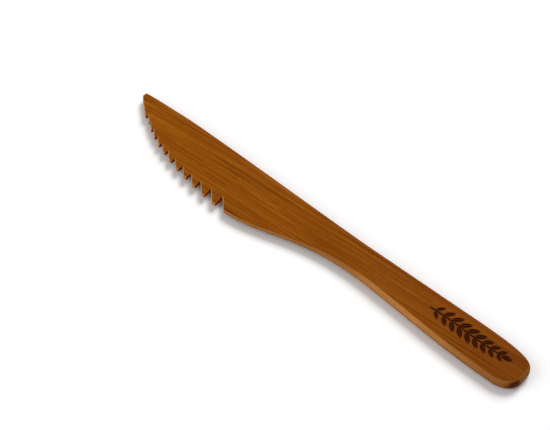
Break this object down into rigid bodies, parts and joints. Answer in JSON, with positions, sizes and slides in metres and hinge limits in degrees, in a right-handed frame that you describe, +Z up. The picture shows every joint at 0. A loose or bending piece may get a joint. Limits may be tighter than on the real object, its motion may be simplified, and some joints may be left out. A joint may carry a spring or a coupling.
{
  "type": "bamboo table knife",
  "caption": "Small one-hand table knife of dark laminated bamboo with a wedge-ground toothed blade, a waisted neck and a round-ended handle.",
  "frame": {"origin": "under the middle of the knife's outline box, on the surface that the knife lies on", "axes": "+X along the knife from the tip to the butt, +Y from the cutting edge towards the back, +Z up through the thickness"},
  "size_m": [0.15, 0.0188, 0.004],
  "materials": {
    "face_bamboo": "carbonised bamboo, sanded and oiled to a satin, fibres along the knife",
    "core_bamboo": "carbonised bamboo, sanded and oiled to a satin, a little lighter than the face plies"
  },
  "bodies": {
    "root": {"lower_face_ply": "face_bamboo", "core_ply": "core_bamboo", "upper_face_ply": "face_bamboo"}
  },
  "joints": []
}
